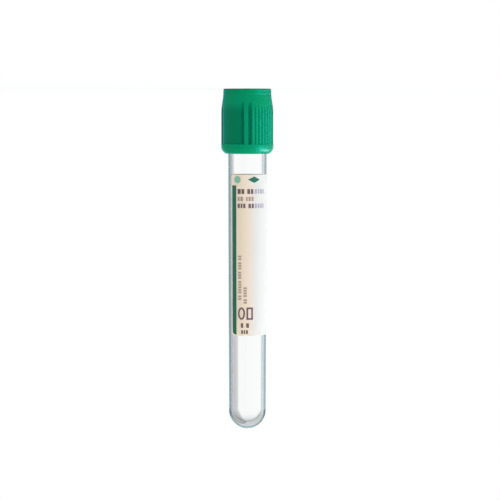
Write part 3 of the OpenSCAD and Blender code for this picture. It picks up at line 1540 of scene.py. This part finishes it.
        floor = crest - groove
        wide_rib = tree.between(within(from_rib, divider_half), floor, crest)
        panel = tree.between(within(from_side, panel_half), floor, crest - panel_depth)
        reed_middle = crest - reed_r
        reed_turn = tree.math("RADIANS", tree.math("PINGPONG", from_side + first, pitch * 0.5))
        reed = reed_middle + half_chord(reed_r, reed_turn * reed_middle)
        reed = tree.math("SMOOTH_MAX", reed, crest - reed_depth, valley)
        reeds = tree.between(within(from_side, reach), floor, reed)
        grip = tree.math("MAXIMUM", wide_rib, tree.between(reeded, panel, reeds))

        shoulder = arc_x + half_chord(arc_r, tree.math("MAXIMUM", z - arc_z, 0.0))
        grip = tree.math("MINIMUM", tree.math("SMOOTH_MIN", grip, shoulder, fillet), radius)

        on_wall = tree.math("GREATER_THAN", radius, least_r)
        above = tree.math("GREATER_THAN", z, band_z)
        only = on_wall * above * tree.math("LESS_THAN", z, collar_z + slack)
        # The depth is stored for the plastic, which paints shade in the grooves and panels by it.
        depth = {
            "Geometry": tree.geometry,
            "Name": ClosurePlastic.painted_shade_depth_name,
            "Value": (radius - grip) / groove * only,
        }
        wall = tree.node("GeometryNodeStoreNamedAttribute", inputs=depth, data_type="FLOAT", domain="POINT")
        scale = grip / radius
        tree.finish(tree.moved(wall, tree.vector(x * scale, y * scale, z), only), material)
        return tree

    def build(self, stance: Stance) -> bpy.types.Object:
        """Make the shield in place of its plain solid.

        Args:
            stance: How the pieces stand.

        Returns:
            The shield.
        """
        material = ClosurePlastic().material()
        made = lathe(self.outside() + self.inside(), columns=720, closed=True)
        obj = new_object("ribbed_shield", made, material)
        self.rib_tree(material).run_on(obj)
        stance.settle(obj, sharp_over=50)
        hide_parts("shield")
        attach(obj, Body.CLOSURE.value)
        return obj


@dataclass
class Stopper:
    """The rubber stopper: plug with a domed hollow, flange on the rim, button with a needle well.

    Attributes:
        tube: The tube that it seals.
        plug: How far the plug reaches into the tube.
        plug_rounding: Radius of the plug's lower corner.
        gap: Clearance of the plug in the bore.
        hollow_r: Radius of the hollow in the plug.
        flange_r: Radius of the flange.
        flange: Height of the flange.
        button_r: Radius of the button in the shield's mouth.
        button: Height of the button.
        well_r: Radius of the needle well.
        well: Depth of the well.
        dish: Depth of the dish round the well.
        septum: Thickness of rubber between the well and the hollow.
        edge: Rounding of the moulded edges.
        step_edge: Rounding of the steps between button, flange and plug.
    """

    tube: Tube
    plug: float = 8.2
    plug_rounding: float = 0.5
    gap: float = 0.05
    hollow_r: float = 3.2
    flange_r: float = 7.15
    flange: float = 4.4
    button_r: float = 4.85
    button: float = 4.2
    well_r: float = 2.4
    well: float = 3.0
    dish: float = 0.4
    septum: float = 3.4
    edge: float = 0.15
    step_edge: float = 0.05

    def outline(self) -> list[Point]:
        """List the outline of half the stopper.

        Returns:
            The points from the middle of the well over the outside to the middle of the hollow.
        """
        rim_z = self.tube.length
        plug_z = rim_z - self.plug
        plug_r = self.tube.outer_r(plug_z) - self.tube.wall - self.gap
        flange_z = rim_z + self.flange
        top = flange_z + self.button
        well_z = top - self.dish - self.well
        dome_z = well_z - self.septum - self.hollow_r
        shape = rounded(
            [
                Corner(0.0, well_z),
                Corner(self.well_r, well_z, self.edge),
                Corner(self.well_r, top - self.dish, self.edge),
                Corner(self.button_r - self.dish, top, self.edge),
                Corner(self.button_r, top, self.edge),
                Corner(self.button_r, flange_z, self.step_edge),
                Corner(self.flange_r, flange_z, self.edge),
                Corner(self.flange_r, rim_z, self.step_edge),
                Corner(plug_r, rim_z, self.step_edge),
                Corner(plug_r, plug_z, self.plug_rounding),
                Corner(self.hollow_r, plug_z, self.edge),
                Corner(self.hollow_r, dome_z),
            ]
        )
        return shape[:-1] + arc((0, dome_z), self.hollow_r, 0, 90, steps=16)

    def build(self, stance: Stance) -> bpy.types.Object:
        """Make the stopper in place of its plain solid.

        Args:
            stance: How the pieces stand.

        Returns:
            The stopper.
        """
        made = lathe(self.outline(), columns=128, closed=False)
        obj = new_object("rubber_stopper", made, StopperRubber().material())
        stance.settle(obj, sharp_over=40)
        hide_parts("stopper")
        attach(obj, Body.CLOSURE.value)
        return obj


# ---------------------------------------------------------------- studio


@dataclass(frozen=True)
class Lamp:
    """One soft studio lamp; the clear wall doesn't show it, and only the closure mirrors it.

    Attributes:
        name: Name of the lamp.
        place: Where it stands, in metres.
        size: Width and height in metres.
        power: Power in watts.
        mirrored: Colour in which the closure mirrors it.
        color: Colour of its light, or none where it only glints on the closure.
    """

    name: str
    place: tuple[float, float, float]
    size: Point
    power: float
    mirrored: Color
    color: Color | None = None

    def build(self, target: Vector, closure: bpy.types.Object) -> None:
        """Make the lamp as the closure mirrors it, and as soft light on everything.

        Args:
            target: The point that it is aimed at.
            closure: The dressed closure.
        """
        glint = self.light(target, self.mirrored)
        glint.visible_diffuse = False
        shown_on = bpy.data.collections.new(self.name)
        shown_on.objects.link(closure)
        glint.light_linking.receiver_collection = shown_on
        if self.color:
            self.light(target, self.color).visible_glossy = False

    def light(self, target: Vector, color: Color) -> bpy.types.Object:
        """Make one light of the lamp's size and power.

        Args:
            target: The point that it is aimed at.
            color: Its colour.

        Returns:
            The light.
        """
        data = bpy.data.lights.new(self.name, "AREA")
        data.shape = "RECTANGLE"
        data.size, data.size_y = self.size
        data.energy = self.power
        data.color = color
        lamp = bpy.data.objects.new(self.name, data)
        lamp.location = self.place
        lamp.rotation_euler = (target - Vector(self.place)).to_track_quat("-Z", "Y").to_euler()
        lamp.visible_transmission = False
        bpy.context.scene.collection.objects.link(lamp)
        return lamp


@dataclass(frozen=True)
class GreyCard:
    """A grey card behind the object and to one side, with soft edges, that only the clear wall shows.

    Attributes:
        tone: Its tone.
        edges: Angles to the side at which it begins, is full, begins to fade and ends.
    """

    tone: float
    edges: tuple[float, float, float, float]

    def cover(self, bench: NodeBench, slope: Wire) -> Wire:
        """Find how far the card covers a direction.

        Args:
            bench: The bench of the surroundings.
            slope: How far the direction leans to the side.

        Returns:
            A number from 0 to 1.
        """
        start, full, fading, end = (math.tan(math.radians(angle)) for angle in self.edges)
        return bench.eased(slope, start, full) * bench.eased(slope, fading, end, 1.0, 0.0)

    def shown(self, bench: NodeBench, cover: Wire) -> Wire:
        """Give the tone of a direction, from white where it isn't covered to the card's tone."""
        return bench.eased(cover, 0.0, 1.0, 1.0, self.tone)


@dataclass
class Studio:
    """The pale floor, the lamps, the surrounding light and the camera.

    Attributes:
        stance: How the tube stands.
        closure: The dressed closure.
        distance: Distance of the camera.
        eye: Upright height that the camera is level with.
        aim: Upright height that it looks at.
        aside: How far the axis lies to the left of the picture's middle.
        view_width: Width of the view at the tube.
        floor_r: Radius of the floor, in metres.
        whitening: How far the floor shows white and no shadow, by the distance in metres from the object.
        surround: Strength of the surrounding light.
        surround_tint: Its colour.
        mirrored: Strength of the surroundings in mirrored rays, by X from the lit side to the other.
        mirrored_tint: Their colour there.
        backdrop: Strength that the backdrop adds in mirrored rays, by X.
        behind: How far a direction meets the backdrop, by its Y.
        card: The narrow grey card.
        card_foot: How far a direction is above the narrow card's lower edge, by its Z.
        side_card: The wide grey card further to its side.
        ceiling: Tone of what is overhead, where the clear wall shows it, by Z.
        floor_tone: Tone of the floor, where the clear wall shows it.
        clear_tint: Colour of all that the clear wall shows above the floor.
    """

    stance: Stance
    closure: bpy.types.Object
    distance: float = 830.0
    eye: float = 106.0
    aim: float = 59.66
    aside: float = 0.9
    view_width: float = 166.35
    floor_r: float = 6.0
    whitening: Ramp = Ramp(0.05, 0.30, 0.8, 1.0)
    surround: float = 0.97
    surround_tint: Color = (0.96, 0.98, 1.0)
    mirrored: Ramp = Ramp(-0.8, 0.4, 0.4, 0.06)
    mirrored_tint: Color = (0.5, 0.93, 1.0)
    backdrop: Ramp = Ramp(-0.2, 0.1, 0.2, 0.9)
    behind: Ramp = Ramp(0.6, 0.95)
    card: GreyCard = GreyCard(0.57, (3.5, 8.5, 13.0, 19.0))
    card_foot: Ramp = Ramp(0.03, 0.08)
    side_card: GreyCard = GreyCard(0.7, (9.0, 15.0, 48.0, 60.0))
    ceiling: Ramp = Ramp(0.3, 0.6, 1.0, 0.62)
    floor_tone: float = 0.97
    clear_tint: Color = (0.99, 1.0, 1.0)

    def camera(self) -> None:
        """Set the camera level with the closure and turned over, so that the closure is at the top."""
        data = bpy.data.cameras.new("camera")
        data.sensor_width = 36.0
        data.lens = data.sensor_width * self.distance / self.view_width
        data.clip_start, data.clip_end = 0.01, 20.0
        camera = bpy.data.objects.new("camera", data)
        bpy.context.scene.collection.objects.link(camera)
        bpy.context.scene.camera = camera
        place = self.stance.matrix() @ Vector((self.aside, -self.distance, self.eye))
        target = self.stance.matrix() @ Vector((self.aside, 0, self.aim))
        back = (place - target).normalized()
        right = Vector((0, 0, -1)).cross(back).normalized()
        up = back.cross(right)
        camera.matrix_world = Matrix.Translation(place) @ Matrix((right, up, back)).transposed().to_4x4()

    def floor(self) -> None:
        """Make the floor that the closure stands on."""
        made = bmesh.new()
        bmesh.ops.create_circle(made, cap_ends=True, segments=96, radius=self.floor_r)
        floor = new_object("floor", made, self.floor_material())
        floor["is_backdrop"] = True

    def floor_material(self) -> bpy.types.Material:
        """Build a pale floor that shows white and keeps the shadow near the object.

        Returns:
            The material.
        """
        bench = MaterialBench("pale_floor")
        paint = bench.node("ShaderNodeBsdfDiffuse", (0.8, 0.8, 0.8, 1.0))
        away = bench.node("ShaderNodeVectorMath", bench.place(), output="Value", operation="LENGTH")
        shown = bench.mixed(bench.eased(away, *self.whitening), paint, bench.glow("Emission", 1.0))
        light = bench.shown_to("Glossy", bench.glow("Emission", self.mirrored.high), paint)
        light = bench.shown_to("Transmission", bench.glow("Emission", self.floor_tone), light)
        return bench.done(bench.shown_to("Camera", shown, light))

    def world(self) -> None:
        """Set the surroundings: soft light, and what mirrored and clear surfaces show of them."""
        world = bpy.data.worlds.new("surround")
        world.use_nodes = True
        bench = ShaderBench(world.node_tree)
        x, y, z = bench.parts(bench.node("ShaderNodeTexCoord", output="Generated"))
        slope = x / y
        card = self.card.shown(bench, self.card.cover(bench, slope) * bench.eased(z, *self.card_foot))
        beside = self.side_card.shown(bench, self.side_card.cover(bench, slope))
        clear = bench.glow("Background", card * beside * bench.eased(z, *self.ceiling), self.clear_tint)
        backdrop = bench.eased(y, *self.behind) * bench.eased(x, *self.backdrop)
        strength = bench.eased(x, *self.mirrored) + backdrop
        mirrored = bench.glow("Background", strength, self.mirrored_tint)
        light = bench.glow("Background", self.surround, self.surround_tint)
        light = bench.shown_to("Transmission", clear, bench.shown_to("Glossy", mirrored, light))
        bench.close("World", bench.shown_to("Camera", bench.glow("Background", 1.0), light))
        bpy.context.scene.world = world

    def lamps(self) -> list[Lamp]:
        """List the lamps.

        Returns:
            The lamps. The picture's right is towards -X and its top towards the floor.
        """
        return [
            Lamp("key", (-0.66, -0.36, 0.26), (0.35, 0.5), 2.6, (0.2, 0.82, 0.82), (0.96, 0.985, 1.0)),
            Lamp("strip", (-0.5, 0.0, 0.5), (0.05, 0.5), 0.95, (0.94, 0.98, 1.0), (0.94, 0.98, 1.0)),
            Lamp("side", (-0.8, 0.05, 0.19), (0.25, 0.4), 0.8, (0.3, 0.8, 1.0), (0.3, 0.8, 1.0)),
            Lamp("glint", (-0.54, 0.09, 0.42), (0.6, 0.25), 4.4, (0.9, 0.65, 0.6)),
        ]

    def build(self) -> None:
        """Make the whole studio."""
        middle = Vector((0, 0, self.stance.height / 2 * MM))
        self.camera()
        self.floor()
        self.world()
        for lamp in self.lamps():
            lamp.build(middle, self.closure)
        bpy.context.scene.view_settings.view_transform = "Standard"


# ---------------------------------------------------------------- the whole


def report(pieces: Iterable[bpy.types.Object]) -> None:
    """Log each piece with its number of faces."""
    for piece in pieces:
        LOG.info("%s: %d faces", piece.name, len(piece.data.polygons))


def main() -> None:
    """Load the frame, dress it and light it."""
    logging.basicConfig(level=logging.INFO, format="%(name)s: %(message)s")
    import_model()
    stance = Stance.of_frame()
    tube = Tube.of_frame()
    label = Label.of_frame(tube, stance)
    shield = Shield(tube_length=tube.length, head=stance.height - tube.length)
    closure = shield.build(stance)
    pieces = [
        tube.build(stance),
        label.build(stance),
        closure,
        Stopper(tube).build(stance),
        *LabelPrint(label).build(stance),
    ]
    report(pieces)
    Studio(stance, closure).build()


if __name__ == "__main__":
    main()
